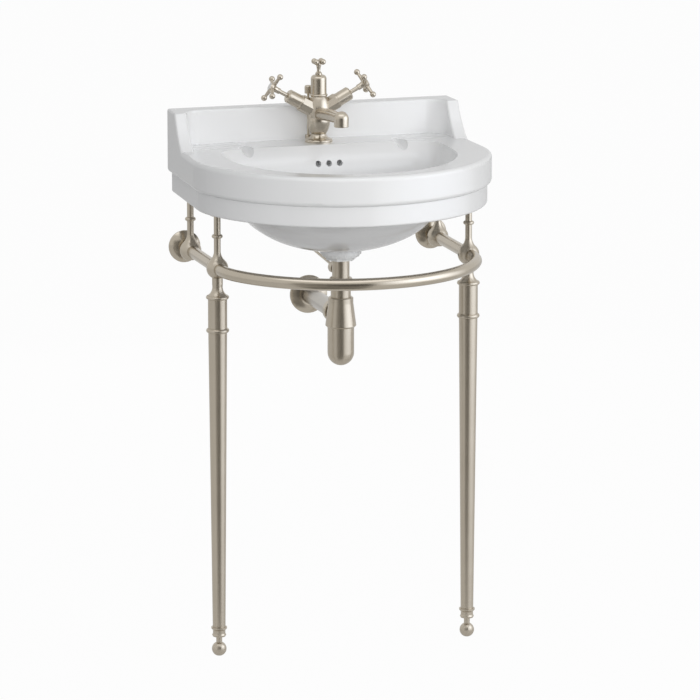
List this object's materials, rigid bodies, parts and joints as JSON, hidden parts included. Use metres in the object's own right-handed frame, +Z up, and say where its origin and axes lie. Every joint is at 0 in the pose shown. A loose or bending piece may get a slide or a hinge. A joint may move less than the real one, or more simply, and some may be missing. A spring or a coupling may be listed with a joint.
{
  "type": "console sink",
  "caption": "D-shaped china basin with upstand on a washstand with curved towel rail, cross-handle monobloc mixer, pop-up waste and bottle trap.",
  "frame": {"origin": "on the floor, under the middle of the basin's width and depth", "axes": "+Z up, +Y towards the wall, +X to the right of a user who faces the basin"},
  "size_m": [0.56, 0.4699, 1.0769],
  "materials": {
    "china": "gloss glaze",
    "nickel": "brushed nickel plate",
    "porcelain": "gloss glaze",
    "rubber": "matte",
    "white_plastic": "satin",
    "steel": "zinc plated"
  },
  "bodies": {
    "stand": {"back_head_left": "nickel", "back_head_right": "nickel", "back_post_left": "nickel", "back_post_right": "nickel", "basin": "china", "cold_bonnet": "nickel", "cold_cartridge": "white_plastic", "foot_collar_left": "nickel", "foot_collar_right": "nickel", "front_head_left": "nickel", "front_head_right": "nickel", "front_post_left": "nickel", "front_post_right": "nickel", "hot_bonnet": "nickel", "hot_cartridge": "white_plastic", "leg_left": "nickel", "leg_right": "nickel", "leg_sleeve_left": "nickel", "leg_sleeve_right": "nickel", "outlet_pipe": "nickel", "outlet_wall_flange": "nickel", "pivot_port_nut": "nickel", "plate_screws": "steel", "post_pads": "rubber", "rail_grub_screws": "steel", "spout_aerator": "steel", "tap_base_seal": "rubber", "tap_body": "nickel", "tap_finial": "nickel", "tap_fixing_nut": "steel", "tap_fixing_plate": "steel", "tap_fixing_stud": "steel", "tap_tower": "nickel", "towel_rail": "nickel", "trap_body": "nickel", "trap_cup": "nickel", "trap_dip_tube": "white_plastic", "trap_inlet_nut": "nickel", "trap_outlet_nut": "nickel", "trap_seal": "rubber", "wall_flange_left": "nickel", "wall_flange_right": "nickel", "wall_plates": "steel", "waste_back_nut": "white_plastic", "waste_flange": "nickel", "waste_seal": "rubber", "waste_tail": "nickel"},
    "hot_handle": {"hot_handle": "nickel", "hot_disc": "porcelain", "hot_spindle": "nickel"},
    "cold_handle": {"cold_handle": "nickel", "cold_disc": "porcelain", "cold_spindle": "nickel"},
    "lift": {"lift_rod": "nickel", "lift_knob": "nickel", "lift_clevis": "nickel"},
    "pivot": {"pivot_rod": "nickel"},
    "plug": {"pop_up_plug": "nickel"},
    "foot_left": {"foot_left": "nickel"},
    "foot_right": {"foot_right": "nickel"}
  },
  "joints": [
    {"name": "hot_valve", "type": "hinge", "parent": "stand", "child": "hot_handle", "pos_m": [-0.09263, 0.165, 1.02871], "axis": [-0.8771, 0, 0.4802], "range_deg": [0, 90]},
    {"name": "cold_valve", "type": "hinge", "parent": "stand", "child": "cold_handle", "pos_m": [0.09263, 0.165, 1.02871], "axis": [0.8771, 0, 0.4802], "range_deg": [-90, 0]},
    {"name": "lift_slide", "type": "slide", "parent": "stand", "child": "lift", "axis": [0, 0, 1], "range_m": [-0.035, 0]},
    {"name": "pivot_swing", "type": "hinge", "parent": "stand", "child": "pivot", "pos_m": [-0.00199, 0.05193, 0.7055], "axis": [0.9975, 0.0712, 0], "range_deg": [-14.31, 0]},
    {"name": "plug_slide", "type": "slide", "parent": "stand", "child": "plug", "axis": [0, 0, 1], "range_m": [0, 0.0071]},
    {"name": "foot_left_level", "type": "slide", "parent": "stand", "child": "foot_left", "axis": [0, 0, 1], "range_m": [0, 0.006]},
    {"name": "foot_right_level", "type": "slide", "parent": "stand", "child": "foot_right", "axis": [0, 0, 1], "range_m": [0, 0.006]}
  ],
  "couplings": [
    {"joint": "pivot_swing", "follows": "lift_slide", "rad_per_m": 7.0846},
    {"joint": "plug_slide", "follows": "lift_slide", "ratio": -0.19939}
  ]
}
